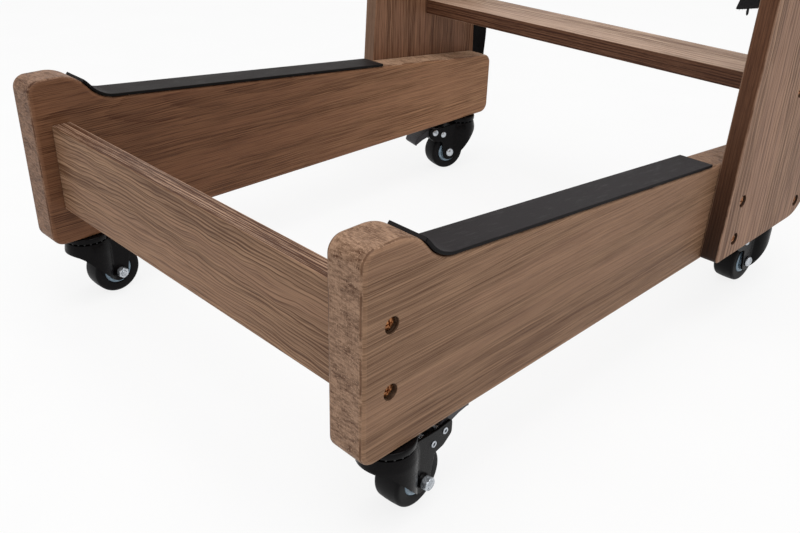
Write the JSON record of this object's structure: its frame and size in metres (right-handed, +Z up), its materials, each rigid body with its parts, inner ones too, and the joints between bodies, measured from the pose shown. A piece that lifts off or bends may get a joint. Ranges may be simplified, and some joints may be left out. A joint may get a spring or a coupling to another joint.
{
  "type": "wheeled load stand",
  "caption": "Wheeled plywood stand with rubber-topped sloping rails, raised front lips, leaning uprights, tie straps and braked swivel casters.",
  "frame": {"origin": "on the floor, below the middle of the stand (bottom centre of its bounding box)", "axes": "+Z up, -Y to the front where the lips are, +X to the right seen from the front"},
  "size_m": [0.5087, 0.6519, 0.8955],
  "materials": {
    "stained_wood": "satin brown-grey stain on birch plywood",
    "rubber_strip": "matte dark grey rubber",
    "bronzed_steel": "bronze-coloured plated steel",
    "webbing": "black woven webbing",
    "black_steel": "black semi-gloss pressed steel",
    "zinc_steel": "bright zinc",
    "tyre": "smooth black tread",
    "grey_nylon": "blue-grey moulded nylon"
  },
  "bodies": {
    "frame": {"rail_left": "stained_wood", "tread_left": "rubber_strip", "upright_left": "stained_wood", "screw_front_board_left_low": "bronzed_steel", "screw_front_board_left_high": "bronzed_steel", "screw_upright_left_front_low": "bronzed_steel", "screw_upright_left_rear_low": "bronzed_steel", "screw_upright_left_front_high": "bronzed_steel", "screw_upright_left_rear_high": "bronzed_steel", "screw_lower_cross_left_front": "bronzed_steel", "screw_lower_cross_left_rear": "bronzed_steel", "screw_upper_cross_left_front": "bronzed_steel", "screw_upper_cross_left_rear": "bronzed_steel", "rail_right": "stained_wood", "tread_right": "rubber_strip", "upright_right": "stained_wood", "screw_front_board_right_low": "bronzed_steel", "screw_front_board_right_high": "bronzed_steel", "screw_upright_right_front_low": "bronzed_steel", "screw_upright_right_rear_low": "bronzed_steel", "screw_upright_right_front_high": "bronzed_steel", "screw_upright_right_rear_high": "bronzed_steel", "screw_lower_cross_right_front": "bronzed_steel", "screw_lower_cross_right_rear": "bronzed_steel", "screw_upper_cross_right_front": "bronzed_steel", "screw_upper_cross_right_rear": "bronzed_steel", "front_board": "stained_wood", "lower_cross_rail": "stained_wood", "upper_cross_rail": "stained_wood", "strap_left": "webbing", "strap_right": "webbing", "strap_screw_left": "black_steel", "strap_screw_right": "black_steel", "caster_stem_front_left": "black_steel", "caster_stem_front_right": "black_steel", "caster_stem_rear_left": "black_steel", "caster_stem_rear_right": "black_steel"},
    "fork_front_left": {"fork_front_left": "black_steel", "axle_bolt_front_left": "zinc_steel"},
    "wheel_front_left": {"tyre_front_left": "tyre", "hub_front_left": "grey_nylon"},
    "brake_lever_front_left": {"brake_lever_front_left": "black_steel"},
    "fork_front_right": {"fork_front_right": "black_steel", "axle_bolt_front_right": "zinc_steel"},
    "wheel_front_right": {"tyre_front_right": "tyre", "hub_front_right": "grey_nylon"},
    "brake_lever_front_right": {"brake_lever_front_right": "black_steel"},
    "fork_rear_left": {"fork_rear_left": "black_steel", "axle_bolt_rear_left": "zinc_steel"},
    "wheel_rear_left": {"tyre_rear_left": "tyre", "hub_rear_left": "grey_nylon"},
    "brake_lever_rear_left": {"brake_lever_rear_left": "black_steel"},
    "fork_rear_right": {"fork_rear_right": "black_steel", "axle_bolt_rear_right": "zinc_steel"},
    "wheel_rear_right": {"tyre_rear_right": "tyre", "hub_rear_right": "grey_nylon"},
    "brake_lever_rear_right": {"brake_lever_rear_right": "black_steel"}
  },
  "joints": [
    {"name": "swivel_front_left", "type": "hinge", "parent": "frame", "child": "fork_front_left", "pos_m": [-0.217, -0.28164, 0.073], "axis": [0, 0, 1], "continuous": true},
    {"name": "wheel_spin_front_left", "type": "hinge", "parent": "fork_front_left", "child": "wheel_front_left", "pos_m": [-0.2174, -0.25864, 0.025], "axis": [0.9998, 0.0175, 0], "continuous": true},
    {"name": "brake_front_left", "type": "hinge", "parent": "fork_front_left", "child": "brake_lever_front_left", "pos_m": [-0.21782, -0.23441, 0.05658], "axis": [0.9998, 0.0175, 0], "range_deg": [-12, 0]},
    {"name": "swivel_front_right", "type": "hinge", "parent": "frame", "child": "fork_front_right", "pos_m": [0.217, -0.28164, 0.073], "axis": [0, 0, 1], "continuous": true},
    {"name": "wheel_spin_front_right", "type": "hinge", "parent": "fork_front_right", "child": "wheel_front_right", "pos_m": [0.21507, -0.25871, 0.025], "axis": [0.9965, 0.0837, 0], "continuous": true},
    {"name": "brake_front_right", "type": "hinge", "parent": "fork_front_right", "child": "brake_lever_front_right", "pos_m": [0.21305, -0.23457, 0.05658], "axis": [0.9965, 0.0837, 0], "range_deg": [-12, 0]},
    {"name": "swivel_rear_left", "type": "hinge", "parent": "frame", "child": "fork_rear_left", "pos_m": [-0.217, 0.27836, 0.073], "axis": [0, 0, 1], "continuous": true},
    {"name": "wheel_spin_rear_left", "type": "hinge", "parent": "fork_rear_left", "child": "wheel_rear_left", "pos_m": [-0.22295, 0.25615, 0.025], "axis": [-0.9659, 0.2588, 0], "continuous": true},
    {"name": "brake_rear_left", "type": "hinge", "parent": "fork_rear_left", "child": "brake_lever_rear_left", "pos_m": [-0.22922, 0.23275, 0.05658], "axis": [-0.9659, 0.2588, 0], "range_deg": [-12, 0]},
    {"name": "swivel_rear_right", "type": "hinge", "parent": "frame", "child": "fork_rear_right", "pos_m": [0.217, 0.27836, 0.073], "axis": [0, 0, 1], "continuous": true},
    {"name": "wheel_spin_rear_right", "type": "hinge", "parent": "fork_rear_right", "child": "wheel_rear_right", "pos_m": [0.2162, 0.25538, 0.025], "axis": [-0.9994, 0.0349, 0], "continuous": true},
    {"name": "brake_rear_right", "type": "hinge", "parent": "fork_rear_right", "child": "brake_lever_rear_right", "pos_m": [0.21535, 0.23117, 0.05658], "axis": [-0.9994, 0.0349, 0], "range_deg": [-12, 0]}
  ]
}
